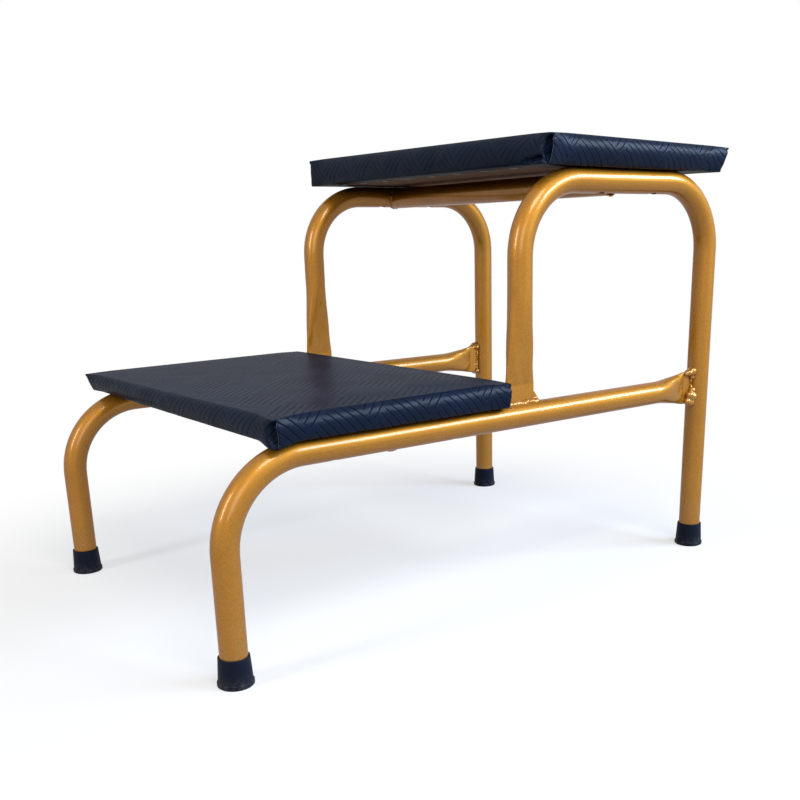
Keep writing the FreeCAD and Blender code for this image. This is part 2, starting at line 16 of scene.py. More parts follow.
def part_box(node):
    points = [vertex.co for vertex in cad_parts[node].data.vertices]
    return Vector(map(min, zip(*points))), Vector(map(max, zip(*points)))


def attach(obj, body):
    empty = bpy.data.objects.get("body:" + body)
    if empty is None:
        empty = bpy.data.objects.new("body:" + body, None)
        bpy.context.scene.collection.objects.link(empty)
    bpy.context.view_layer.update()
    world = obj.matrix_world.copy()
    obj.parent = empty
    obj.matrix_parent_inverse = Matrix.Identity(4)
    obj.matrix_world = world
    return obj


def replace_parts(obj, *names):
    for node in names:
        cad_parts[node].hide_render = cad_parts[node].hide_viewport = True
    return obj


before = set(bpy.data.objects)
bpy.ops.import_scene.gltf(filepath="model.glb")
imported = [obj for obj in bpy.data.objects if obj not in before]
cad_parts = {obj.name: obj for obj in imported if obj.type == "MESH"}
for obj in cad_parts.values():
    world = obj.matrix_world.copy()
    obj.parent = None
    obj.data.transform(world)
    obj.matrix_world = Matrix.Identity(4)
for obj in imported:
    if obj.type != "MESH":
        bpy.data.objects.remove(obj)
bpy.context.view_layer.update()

bl_info = {
    "name": "Step stool finish",
    "version": (1, 0, 0),
    "blender": (4, 5, 0),
    "location": "View3D > Sidebar > Step stool",
    "description": "Padded covers, weld beads, paint and studio of a two-step clinic stool",
    "category": "Object",
}

BODY = "root"
MM = 0.001
IMAGE_SIZE = 800
SENSOR_WIDTH = 36.0
LEVELS = ("lower", "upper")
SIDES = (("left", -1), ("right", 1))
TUBE_NODES = ("rail_tube_left", "rail_tube_right", "arch_tube_left", "arch_tube_right",
              "lower_crossbar", "upper_crossbar")
TIP_NODES = ("foot_front_left", "foot_front_right", "foot_rear_left", "foot_rear_right")


# Settings

def number(name, description, default, **options):
    return FloatProperty(name=name, description=description, default=default, **options)


def degrees(name, description, default):
    return number(name, description, math.radians(default), subtype="ANGLE")


def colour(name, description, default):
    return FloatVectorProperty(name=name, description=description, default=default, size=3, min=0.0,
                               max=1.0, subtype="COLOR")


length = partial(number, unit="LENGTH", precision=5)
share = partial(number, min=0.0, max=1.0, subtype="FACTOR")
watts = partial(number, unit="POWER")
pixels = partial(number, subtype="PIXEL")


class PaintSettings(bpy.types.PropertyGroup):
    gold: colour("Gold", "Colour of the metallic paint", (0.43, 0.186, 0.018))
    shade: colour("Shade", "Colour of the paint where it lies thin", (0.30, 0.122, 0.010))
    edge: colour("Edge", "Tint of the paint where it is seen edge on", (0.35, 0.20, 0.08))
    metallic: share("Metallic", "How metallic the paint is", 0.62)
    roughness: share("Roughness", "Roughness of the paint", 0.46)
    coat: share("Coat", "Weight of the clear gloss over the paint", 0.55)
    weld_roughness: share("Weld roughness", "Roughness of the paint on the welds", 0.34)
    weld_coat: share("Weld coat", "Weight of the clear gloss where paint pooled on the welds", 0.9)
    peel_size: length("Peel size", "Width of the ripples in the sprayed paint", 0.0022)
    peel_depth: length("Peel depth", "Height of the ripples in the sprayed paint", 0.00004)
    weld_peel_depth: length("Weld peel depth", "Height of the ripples in the paint on the welds", 0.00012)
    bead_voxel: length("Bead grain", "Finest lump of a weld bead", 0.0006)


class VinylSettings(bpy.types.PropertyGroup):
    navy: colour("Navy", "Colour of the covers", (0.003, 0.0075, 0.020))
    # Pale colour of the fold's lip edge: sheet paled by stretching, lifted further as a painted highlight
    # where the lip catches light.
    stretched: colour("Stretched", "Colour of the covers where a fold stretches them", (0.13, 0.15, 0.19))
    roughness: share("Roughness", "Roughness of the covers", 0.44)
    coat: share("Gloss", "Weight of the thin gloss on the covers", 0.28)
    coat_roughness: share("Gloss roughness", "Roughness of the thin gloss on the covers", 0.34)
    block: length("Emboss block", "Side of one block of parallel grooves", 0.0408)
    lines: IntProperty(name="Grooves", description="Grooves in one block", default=7, min=1)
    groove_width: length("Groove width", "Half width of a groove", 0.0006)
    groove_depth: length("Groove depth", "Depth of a groove", 0.0005)
    grain_size: length("Grain size", "Size of the leather grain", 0.0011)
    grain_depth: length("Grain depth", "Depth of the leather grain", 0.00008)


class CoverSettings(bpy.types.PropertyGroup):
    thickness: length("Sheet thickness", "Thickness of the vinyl", 0.001)
    rim_radius: length("Rim radius", "Rounding of the upper edge", 0.0035)
    lower_base_radius: length("Lower base radius", "Rounding of the lower step's lower edge", 0.003)
    upper_base_radius: length("Upper base radius", "Rounding of the upper step's lower edge", 0.0048)
    shoulder: degrees("Shoulder", "How far the swollen side faces up at its top", 40)
    hip: degrees("Hip", "How far the swollen side faces down at its bottom", 30)
    corner_dip: length("Corner dip", "How far a pulled corner lies below the top", 0.0012)
    crown: length("Crown", "How far the foam lifts the middle of the top", 0.0011)
    waist: length("Waist", "How far the sides pull in between the corners", 0.0009)
    fold_width: length("Side fold width", "Width of the edges folded under at the sides", 0.036)
    front_fold_width: length("Front fold width", "Width of the edges folded under at the front and back",
                             0.017)
    corner_radius: length("Corner radius", "Rounding of a corner seen from above", 0.002)
    pitch: length("Column pitch", "Distance between mesh columns along a side", 0.006)


class StageSettings(bpy.types.PropertyGroup):
    floor: colour("Floor", "Colour of the studio floor as it is seen", (0.92, 0.92, 0.92))
    bounce: colour("Bounce", "Colour of the light that the floor throws back", (0.09, 0.085, 0.08))
    fill: share("Fill", "Strength of the light from all round", 0.07)
    key_power: watts("Key", "Power of the lamp high on the right", 20.0)
    side_power: watts("Side", "Power of the wide lamp at the back right", 76.0)
    side_colour: colour("Side colour", "Colour of the wide lamp at the back right", (0.62, 0.78, 1.0))
    front_power: watts("Front", "Power of the lamp in front", 17.0)
    fill_power: watts("Fill lamp", "Power of the lamp beside the camera", 11.0)
    camera_place: FloatVectorProperty(name="Camera", description="Place of the camera",
                                      default=(0.810592, -0.553936, 0.329239), size=3, unit="LENGTH")
    camera_yaw: degrees("Yaw", "Turn of the camera from +Y towards -X", 52.79)
    camera_pitch: degrees("Pitch", "Tilt of the camera above level", -16.468)
    camera_roll: degrees("Roll", "Roll of the camera about its own line", -1.153)
    focal_pixels: pixels("Focal length", "Focal length in pixels of the image", 958.149)
    centre_x: pixels("Centre X", "Optical centre from the image's left edge", 440.0)
    centre_y: pixels("Centre Y", "Optical centre from the image's top edge", 520.0)


# Shader helpers

WHITE = (1.0, 1.0, 1.0)
# Sockets of a Mix node: its first input, its second input and its output
MIX_SOCKETS = {"FLOAT": (2, 3, 0), "RGBA": (6, 7, 2)}


def plug(tree, socket, value):
    """Link an output to a socket, or set the socket to a plain value; a colour gets full alpha."""
    if isinstance(value, bpy.types.NodeSocket):
        tree.links.new(value, socket)
    elif socket.type == "RGBA":
        socket.default_value = (*value, 1.0)
    else:
        socket.default_value = value


def set_inputs(tree, node, **inputs):
    """Set or link a node's inputs; _ in a name stands for a space."""
    for name, value in inputs.items():
        plug(tree, node.inputs[name.replace("_", " ")], value)


def add_node(tree, kind, settings=None, **inputs):
    """Add a node, set its options, then its inputs."""
    node = tree.nodes.new(kind)
    for name, value in (settings or {}).items():
        setattr(node, name, value)
    set_inputs(tree, node, **inputs)
    return node


def calc(tree, operation, *values, kind="ShaderNodeMath"):
    """One arithmetic node; gives its output."""
    node = add_node(tree, kind, {"operation": operation})
    for socket, value in zip(node.inputs, values):
        plug(tree, socket, value)
    return node.outputs[0]


vector_calc = partial(calc, kind="ShaderNodeVectorMath")


def vary(tree, mask, mean, span):
    """Value that a mask swings about its mean."""
    return calc(tree, "MULTIPLY_ADD", mask, span, mean - span / 2)


def ramp(tree, value, low, high, start=0.0, end=1.0):
    """Smooth step of a value from one level to another."""
    node = add_node(tree, "ShaderNodeMapRange", {"interpolation_type": "SMOOTHSTEP"}, Value=value,
                    From_Min=low, From_Max=high, To_Min=start, To_Max=end)
    return node.outputs["Result"]


def blend(tree, factor, first, second, kind="RGBA"):
    """Mix of two colours, or of two plain values."""
    first_input, second_input, output = MIX_SOCKETS[kind]
    node = add_node(tree, "ShaderNodeMix", {"data_type": kind})
    plug(tree, node.inputs[0], factor)
    plug(tree, node.inputs[first_input], first)
    plug(tree, node.inputs[second_input], second)
    return node.outputs[output]


blend_values = partial(blend, kind="FLOAT")


def bump(tree, height, distance, **normal):
    """Bumped normal, on top of another normal where one is given."""
    return add_node(tree, "ShaderNodeBump", Height=height, Distance=distance, **normal).outputs["Normal"]


def solid_place(tree):
    return add_node(tree, "ShaderNodeTexCoord").outputs["Object"]


def new_group(name, inputs, outputs):
    """Empty shader group: its tree, the sockets that it is given and those that it has to fill."""
    group = bpy.data.node_groups.new(name, "ShaderNodeTree")
    for label in inputs:
        kind = "NodeSocketVector" if label == "Vector" else "NodeSocketFloat"
        group.interface.new_socket(label, in_out="INPUT", socket_type=kind)
    for label in outputs:
        group.interface.new_socket(label, in_out="OUTPUT", socket_type="NodeSocketFloat")
    return group, group.nodes.new("NodeGroupInput").outputs, group.nodes.new("NodeGroupOutput").inputs


def use_group(tree, group, **inputs):
    return add_node(tree, "ShaderNodeGroup", {"node_tree": group}, **inputs).outputs


def mottle_group():
    """Uneven tone of a finish: broad clouds, and fine grain for its bump."""
    name = "Mottle"
    if name in bpy.data.node_groups:
        return bpy.data.node_groups[name]
    group, given, made = new_group(name, ("Vector", "Cloud Size", "Grain Size"), ("Cloud", "Grain"))
    for output, detail in (("Cloud", 4.0), ("Grain", 2.0)):
        scale = calc(group, "DIVIDE", 1.0, given[f"{output} Size"])
        clouds = add_node(group, "ShaderNodeTexNoise", Vector=given["Vector"], Scale=scale, Detail=detail)
        group.links.new(ramp(group, clouds.outputs["Fac"], low=0.25, high=0.75), made[output])
    return group


def dust_group():
    """Patchy dust that gathers near the floor."""
    name = "Settled dust"
    if name in bpy.data.node_groups:
        return bpy.data.node_groups[name]
    group, given, made = new_group(name, ("Height", "Break Up"), ("Dust",))
    place = solid_place(group)
    level = add_node(group, "ShaderNodeSeparateXYZ", Vector=place).outputs["Z"]
    near_floor = ramp(group, level, 0.0, given["Height"], start=1.0, end=0.0)
    patches = add_node(group, "ShaderNodeTexNoise", Vector=place, Scale=given["Break Up"], Detail=3.0)
    uneven = ramp(group, patches.outputs["Fac"], low=0.35, high=0.7)
    group.links.new(calc(group, "MULTIPLY", near_floor, uneven), made["Dust"])
    return group


def mottled(tree, cloud_size, grain_size):
    """Clouds and grain of a finish, each from 0 to 1."""
    return use_group(tree, mottle_group(), Vector=solid_place(tree), Cloud_Size=cloud_size,
                     Grain_Size=grain_size)


def dusted(tree, clean, dust_colour, dust_share, height, break_up):
    """Colour with settled dust over it."""
    dust = use_group(tree, dust_group(), Height=height, Break_Up=break_up)["Dust"]
    return blend(tree, calc(tree, "MULTIPLY", dust, dust_share), clean, dust_colour)


def new_material(name):
    """Material with one surface shader; gives the material, its tree and that shader."""
    material = bpy.data.materials.new(name)
    material.use_nodes = True
    tree = material.node_tree
    return material, tree, tree.nodes["Principled BSDF"]


# Materials

def paint_material(name, settings, roughness, peel_depth, coat):
    """Sprayed metallic gold under a thin clear gloss."""
    flakes_per_metre = 1000.0
    flake_share, cloud_share, flake_roughness = 0.6, 0.3, 0.06
    dust_colour = (0.34, 0.28, 0.22)
    material, tree, surface = new_material(name)
    mottle = mottled(tree, cloud_size=0.05, grain_size=settings.peel_size)
    flakes = add_node(tree, "ShaderNodeTexVoronoi", Vector=solid_place(tree), Scale=flakes_per_metre)
    sparkle = add_node(tree, "ShaderNodeSeparateColor", Color=flakes.outputs["Color"]).outputs["Red"]
    clouds = calc(tree, "MULTIPLY", mottle["Cloud"], cloud_share)
    tone = calc(tree, "MULTIPLY_ADD", sparkle, flake_share, clouds)
    painted = blend(tree, tone, settings.gold, settings.shade)
    rough = vary(tree, mottle["Cloud"], roughness, span=0.08)
    set_inputs(tree, surface,
               Base_Color=dusted(tree, painted, dust_colour, dust_share=0.12, height=0.09, break_up=60.0),
               Roughness=calc(tree, "MULTIPLY_ADD", sparkle, flake_roughness, rough),
               Metallic=vary(tree, sparkle, settings.metallic, span=0.4),
               Coat_Weight=coat, Coat_Roughness=0.12, Coat_IOR=1.5,
               Specular_IOR_Level=0.06, Specular_Tint=settings.edge,
               Normal=bump(tree, mottle["Grain"], peel_depth))
    return material


def groove_blocks(tree, sheet, settings):
    """Blocks of parallel grooves set cornerwise, each turned across its neighbours: height, and the groove
    mask that also places painted shade.
    """
    run_out, swell_height = 0.07, 0.10
    turned = add_node(tree, "ShaderNodeVectorRotate", {"rotation_type": "Z_AXIS"},
                      Vector=sheet, Angle=math.radians(45)).outputs["Vector"]
    cells = vector_calc(tree, "MULTIPLY", turned, (1 / settings.block, 1 / settings.block, 0.0))
    corner = add_node(tree, "ShaderNodeSeparateXYZ", Vector=vector_calc(tree, "FLOOR", cells)).outputs
    inside = add_node(tree, "ShaderNodeSeparateXYZ", Vector=vector_calc(tree, "FRACTION", cells)).outputs
    across_block = calc(tree, "FLOORED_MODULO", calc(tree, "ADD", corner["X"], corner["Y"]), 2.0)
    across = blend_values(tree, across_block, inside["X"], inside["Y"])
    along = blend_values(tree, across_block, inside["Y"], inside["X"])
    phase = calc(tree, "FRACT", calc(tree, "MULTIPLY", across, settings.lines))
    off_line = calc(tree, "ABSOLUTE", calc(tree, "SUBTRACT", phase, 0.5))
    half_width = settings.groove_width * settings.lines / settings.block
    groove = ramp(tree, off_line, 0.0, half_width, start=1.0, end=0.0)
    to_end = calc(tree, "MINIMUM", along, calc(tree, "SUBTRACT", 1.0, along))
    cut = calc(tree, "MULTIPLY", groove, ramp(tree, to_end, 0.0, run_out))
    wave = calc(tree, "SINE", calc(tree, "MULTIPLY", off_line, math.pi))
    return calc(tree, "SUBTRACT", calc(tree, "MULTIPLY", wave, swell_height), cut), cut


def vinyl_material(settings):
    """Dark blue vinyl with embossed groove blocks and a fine leather grain; painted shade darkens the
    grooves, and the fold's lip edge is paler, stretched sheet with a painted highlight.
    """
    pale = [channel * 1.5 for channel in settings.navy]
    # Half the navy: painted shade for the grooves.
    painted_groove_shade = [channel * 0.5 for channel in settings.navy]
    groove_coat, groove_roughness = 0.35 * settings.coat, 0.2
    material, tree, surface = new_material("navy_vinyl")
    sheet = add_node(tree, "ShaderNodeUVMap", {"uv_map": "sheet"}).outputs["UV"]
    height, groove = groove_blocks(tree, sheet, settings)
    mottle = mottled(tree, cloud_size=0.06, grain_size=settings.grain_size)
    grain = add_node(tree, "ShaderNodeTexVoronoi", {"feature": "SMOOTH_F1"}, Vector=sheet,
                     Scale=1.0 / settings.grain_size)
    clouded = blend(tree, mottle["Cloud"], settings.navy, pale)
    # Painted shade: each groove's colour is darkened to half the navy, on top of its bump.
    grooved = blend(tree, groove, clouded, painted_groove_shade)
    # Painted highlight: mask, kept on the vertices, of the fold's pale lip edge.
    crease = add_node(tree, "ShaderNodeAttribute", {"attribute_name": "crease"}).outputs["Fac"]
    stretch_and_highlight_mask = ramp(tree, crease, low=0.3, high=0.9, end=0.8)
    rough = vary(tree, mottle["Cloud"], settings.roughness, span=0.1)
    fine = bump(tree, grain.outputs["Distance"], settings.grain_depth)
    embossed = bump(tree, height, settings.groove_depth, Normal=fine)
    # Painted highlight: the base colour is blended towards the pale stretched colour along the lip edge.
    set_inputs(tree, surface, Base_Color=blend(tree, stretch_and_highlight_mask, grooved, settings.stretched),
               Roughness=calc(tree, "MULTIPLY_ADD", groove, groove_roughness, rough),
               Specular_IOR_Level=0.0,
               Coat_Weight=ramp(tree, groove, low=0.3, high=0.95, start=settings.coat, end=groove_coat),
               Coat_Roughness=settings.coat_roughness, Coat_IOR=1.38,
               Normal=embossed, Coat_Normal=embossed)
    return material


def board_material():
    """Raw pressed board: brown fibres, clouds and dark specks."""
    dark_fibre, pale_fibre = (0.26, 0.145, 0.09), (0.42, 0.255, 0.165)
    cloud_colour, speck_colour = (0.20, 0.12, 0.08), (0.10, 0.055, 0.035)
    fibre_stretch = (1.0, 0.12, 1.0)
    cloud_share, speck_share = 0.4, 0.5
    material, tree, surface = new_material("raw_board")
    place = solid_place(tree)
    stretched = vector_calc(tree, "MULTIPLY", place, fibre_stretch)
    fibres = add_node(tree, "ShaderNodeTexNoise", Vector=stretched, Scale=420.0, Detail=6.0).outputs["Fac"]
    mottle = mottled(tree, cloud_size=0.08, grain_size=0.0012)
    specks = add_node(tree, "ShaderNodeTexVoronoi", Vector=place, Scale=260.0)
    fibre_tone = ramp(tree, fibres, low=0.3, high=0.7)
    wood = blend(tree, fibre_tone, dark_fibre, pale_fibre)
    clouded = blend(tree, calc(tree, "MULTIPLY", mottle["Cloud"], cloud_share), wood, cloud_colour)
    dot = ramp(tree, specks.outputs["Distance"], low=0.05, high=0.22, start=speck_share, end=0.0)
    set_inputs(tree, surface, Base_Color=blend(tree, dot, clouded, speck_colour),
               Roughness=vary(tree, fibre_tone, mean=0.735, span=0.15), Specular_IOR_Level=0.1,
               Normal=bump(tree, fibres, distance=0.00012))
    return material


def rubber_material():
    """Moulded black rubber with a dusty rim."""
    dark, pale, dust_colour = (0.003, 0.005, 0.014), (0.006, 0.009, 0.020), (0.11, 0.105, 0.10)
    material, tree, surface = new_material("black_rubber")
    mottle = mottled(tree, cloud_size=0.012, grain_size=0.0008)
    black = blend(tree, mottle["Cloud"], dark, pale)
    set_inputs(tree, surface,
               Base_Color=dusted(tree, black, dust_colour, dust_share=0.35, height=0.014, break_up=240.0),
               Roughness=vary(tree, mottle["Cloud"], mean=0.58, span=0.16), Specular_IOR_Level=0.1,
               Normal=bump(tree, mottle["Grain"], distance=0.00008))
    return material


def steel_material():
    """Dull zinc-plated wire and screws."""
    dark, pale = (0.12, 0.12, 0.115), (0.21, 0.205, 0.195)
    material, tree, surface = new_material("plated_steel")
    mottle = mottled(tree, cloud_size=0.006, grain_size=0.0006)
    set_inputs(tree, surface, Base_Color=blend(tree, mottle["Cloud"], dark, pale), Metallic=1.0,
               Roughness=vary(tree, mottle["Cloud"], mean=0.45, span=0.18),
               Normal=bump(tree, mottle["Grain"], distance=0.00003))
    return material


# Pieces

def paint_nodes(names, material):
    """Give CAD nodes a finish."""
    for name in names:
        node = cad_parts[name]
        if not node.material_slots:
            node.data.materials.append(material)
        for slot in node.material_slots:
            slot.material = material


def add_piece(name, mesh, material):
    """New object of the stool, riding on its frame."""
    piece = bpy.data.objects.new(name, mesh)
    bpy.context.scene.collection.objects.link(piece)
    mesh.materials.append(material)
    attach(piece, BODY)
    return piece


def middle(node):
    low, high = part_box(node)
    return (low + high) / 2


def tube_radius():
    low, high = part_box("upper_crossbar")
    return (high.z - low.z) / 2


# Weld beads

def lump_mesh(name, blobs, prisms, voxel):
    """Overlapping blobs and flat plates melted into one skin of cooled weld."""
    shape = bmesh.new()
    for centre, radii in blobs:
        verts = bmesh.ops.create_icosphere(shape, subdivisions=3, radius=1.0)["verts"]
        bmesh.ops.scale(shape, vec=radii, verts=verts)
        bmesh.ops.translate(shape, vec=centre, verts=verts)
    for outline, thickness in prisms:
        first = [shape.verts.new(point) for point in outline]
        second = [shape.verts.new(point + thickness) for point in outline]
        shape.faces.new(first)
        shape.faces.new(reversed(second))
        for i in range(len(outline)):
            j = (i + 1) % len(outline)
            shape.faces.new((first[j], first[i], second[i], second[j]))
    bmesh.ops.recalc_face_normals(shape, faces=shape.faces)
    rough = bpy.data.meshes.new(name + "_rough")
    shape.to_mesh(rough)
    shape.free()
    carrier = bpy.data.objects.new(name + "_rough", rough)
    bpy.context.scene.collection.objects.link(carrier)
    melt = carrier.modifiers.new("melt", "REMESH")
    melt.mode = "VOXEL"
    melt.voxel_size = voxel
    soften = carrier.modifiers.new("soften", "SMOOTH")
    soften.iterations = 7
    mesh = bpy.data.meshes.new_from_object(carrier.evaluated_get(bpy.context.evaluated_depsgraph_get()))
    mesh.name = name
    bpy.data.objects.remove(carrier)
    bpy.data.meshes.remove(rough)
    mesh.polygons.foreach_set("use_smooth", [True] * len(mesh.polygons))
    return mesh


def bead_along(path, radius, dice):
    """Blobs of uneven size along a path."""
    sizes, shifts, widths = (0.75, 1.25), (-0.25, 0.25), (0.9, 1.2)
    blobs = []
    for point in path:
        size = radius * dice.uniform(*sizes)
        jitter = Vector([dice.uniform(*shifts) * radius for _ in range(3)])
        blobs.append((Vector(point) + jitter, (size, size * dice.uniform(*widths), size)))
    return blobs


def crossbar_bead(level, sign, dice):
    """Bead round the saddle where a crossbar meets a side tube."""
    steps, size, lift, least_reach = 36, 1.1 * MM, 0.4 * MM, 2.5 * MM
    radius = tube_radius()
    bar = middle(f"{level}_crossbar")
    tube_x = sign * abs(middle("foot_front_right").x)
    tube_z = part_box(f"{level}_step_cover")[0].z - radius
    path = []
    for step in range(steps):
        angle = 2 * math.pi * step / steps
        y = bar.y + radius * math.cos(angle)
        z = bar.z + radius * math.sin(angle)
        reach = math.sqrt(max(radius ** 2 - (z - tube_z) ** 2, least_reach ** 2))
        path.append((tube_x - sign * (reach + lift), y, z))
    return bead_along(path, size, dice), []


# Lumps at the head and foot of a rail end's outer seam, in millimetres: along the rail, up, and size
TOP_LUMPS = ((-9.0, -0.6, 3.0), (-5.0, 0.0, 4.2), (-0.5, 1.2, 5.6), (0.8, -4.5, 3.6))
FOOT_LUMPS = ((-6.0, 1.5, 4.4), (-1.0, 0.0, 5.2), (0.6, 6.0, 6.2), (-3.4, 8.0, 5.0), (0.8, 12.5, 4.4))


def rail_end_bead(side, sign, dice):
    """Lumps up the outer seam of the pressed rail end, and thin beads down its two faces."""
    seam_shift, seam_inset = 0.6 * MM, 4.0 * MM
    least_out, out_share, out_shifts = 1.0, 0.4, (-0.4, 0.4)
    lump_width, lump_depths, lump_height = 0.9, (0.9, 1.15), 0.85
    inner_lump, inner_out, inner_along = (3.6 * MM, 4.0 * MM, 3.2 * MM), 1.5 * MM, 1.0 * MM
    face_bead, face_out, face_along, steps = 1.3 * MM, 2.1 * MM, 0.3 * MM, 11
    low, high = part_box(f"rail_end_weld_{side}")
    x = (low.x + high.x) / 2
    y = (low.y + high.y) / 2 + seam_shift
    top, bottom = high.z - seam_inset, low.z + seam_inset
    blobs = []
    for level, lumps in ((top, TOP_LUMPS), (bottom, FOOT_LUMPS)):
        for along, rise, size in lumps:
            out = sign * (least_out + out_share * size + dice.uniform(*out_shifts))
            centre = Vector((x + out * MM, y + along * MM, level + rise * MM))
            depth = dice.uniform(*lump_depths)
            blobs.append((centre, (size * lump_width * MM, size * depth * MM, size * lump_height * MM)))
        blobs.append((Vector((x - sign * inner_out, y - inner_along, level)), inner_lump))
    for face in (-1, 1):
        path = [(x + face * face_out, y - face_along, bottom + (top - bottom) * step / steps)
                for step in range(steps + 1)]
        blobs += bead_along(path, face_bead, dice)
    return blobs, []


def post_bead(side, dice):
    """Uneven beads along both faces of the pressed post foot, with a small fin behind it."""
    fin_length, fin_height, fin_lap, fin_slope = 8.0 * MM, 9.5 * MM, 1.0 * MM, 0.6 * MM
    plate, sunk = 3.0 * MM, 2.0 * MM
    bead, bead_out, bead_start, bead_drop, steps = 2.9 * MM, 2.3 * MM, 1.5 * MM, 0.2 * MM, 16
    lump, lump_out, lump_start = (4.6 * MM, 5.0 * MM, 4.0 * MM), 3.2 * MM, 4.0 * MM
    low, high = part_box(f"post_weld_{side}")
    x = middle(f"post_weld_{side}").x
    crest = high.z - fin_height
    tab_end = high.y - fin_length
    blobs = []
    for face in (-1, 1):
        path = [(x + face * bead_out, low.y + bead_start + (tab_end - low.y) * step / steps,
                 crest - bead_drop) for step in range(steps + 1)]
        blobs += bead_along(path, bead, dice)
        blobs.append((Vector((x + face * lump_out, low.y + lump_start, crest)), lump))
    fin = ((tab_end - fin_lap, crest - sunk), (high.y, crest - sunk), (high.y - fin_slope, crest),
           (tab_end, high.z), (tab_end - fin_lap, high.z))
    outline = [Vector((x - plate / 2, y, z)) for y, z in fin]
    return blobs, [(outline, Vector((plate, 0, 0)))]


# Padded covers

# One corner of a cover where its fold is full, from the side panel round to the end panel. In
# millimetres: place along the plain outline, inward of the side's face, inward of the end's face.
# Then the shares of the lip's setback and of PLEAT_DEPTH, in millimetres, that are added to the last one.
FOLD = (
    (-16.0, -0.1, 15.0, 0.6, 0.0),
    (-13.0, -0.3, 12.0, 0.8, 0.0),
    (-10.8, -0.6, 9.4, 1.0, 0.0),
    (-9.2, -1.0, 7.2, 1.0, 0.0),
    (-8.0, -1.3, 5.2, 1.0, 0.0),
    (-7.1, -1.4, 3.6, 1.0, 0.0),
    (-6.4, -1.1, 2.4, 1.0, 0.0),
    (-5.8, -0.4, 1.8, 1.0, 0.0),
    (-5.3, 0.5, 2.0, 1.0, 0.1),
    (-4.9, 1.1, 3.0, 1.0, 0.6),
    (-4.5, 2.2, 3.4, 1.0, 1.0),
    (-4.1, 3.4, 3.2, 1.0, 0.6),
    (-3.6, 4.2, 3.4, 0.9, 0.1),
    (-3.0, 4.7, 3.9, 0.6, 0.0),
    (-2.2, 4.9, 3.7, 0.35, 0.0),
    (-1.2, 4.9, 3.1, 0.2, 0.0),
    (0.0, 5.0, 2.2, 0.1, 0.0),
    (1.3, 5.3, 1.3, 0.0, 0.0),
    (2.8, 5.9, 0.5, 0.0, 0.0),
    (4.6, 7.0, -0.1, 0.0, 0.0),
    (6.8, 8.6, -0.4, 0.0, 0.0),
    (9.4, 10.8, -0.5, 0.0, 0.0),
    (12.4, 13.6, -0.4, 0.0, 0.0),
    (16.0, 17.0, -0.2, 0.0, 0.0),
)
PLEAT_DEPTH = 6.0
# Entries of the fold: the last one of the lip, the one where the end panel starts, and the lip's edge,
# painted pale as stretched sheet with a painted highlight
LAST_LIP, TURN, LIP_EDGE = 9, 10, (7, 8)
BEFORE_FOLD, AFTER_FOLD = (-26.0, -21.0), (20.5, 25.0, 30.0)
ZONE = BEFORE_FOLD + tuple(entry[0] for entry in FOLD) + AFTER_FOLD
CORNERS = ((1, -1), (-1, -1), (-1, 1), (1, 1))


@dataclass
class CornerForm:
    """How one corner of a cover is folded and pulled: millimetres, and shares for pocket and calm.

    The lip's setback, the pocket behind it, a slit tucked in beside it, a lower edge that droops, how
    much of the swelling is lost, and where the corner's top and base are pulled to.
    """
    setback: float = 3.0
    pocket: float = 0.8
    tuck: float = 0.0
    droop: float = 0.0
    calm: float = 0.75
    top: tuple = (0, 0, 0)
    base: tuple = (0, 0, 0)


CORNER_FORMS = {
    ("lower", 1, -1): CornerForm(setback=3.0, pocket=1.0, droop=3.0),
    ("lower", -1, -1): CornerForm(top=(-3, -11, -2.5), base=(-1, -5, 0.4)),
    ("lower", 1, 1): CornerForm(calm=0.45, top=(0, 0, 2.0), base=(0, -1.5, 0.4)),
    ("lower", -1, 1): CornerForm(),
    ("upper", 1, -1): CornerForm(setback=3.5, pocket=1.2, tuck=4.6, top=(3, 4.5, 0), base=(0, 1, 0)),
    ("upper", -1, -1): CornerForm(top=(-2.5, -2.5, 3.0), base=(-2, -2, 0.6)),
    ("upper", -1, 1): CornerForm(),
    ("upper", 1, 1): CornerForm(top=(3, 9.5, -4.0), base=(0, 3, -1.5)),
}


def smooth(low, high, value):
    level = min(max((value - low) / (high - low), 0.0), 1.0)
    return level * level * (3 - 2 * level)


@dataclass
class Row:
    """One ring of a cover: insets from the widest outline, height, kind, and sheet length past the rim."""
    side_inset: float
    end_inset: float
    height: float
    kind: str
    sheet: float = 0.0


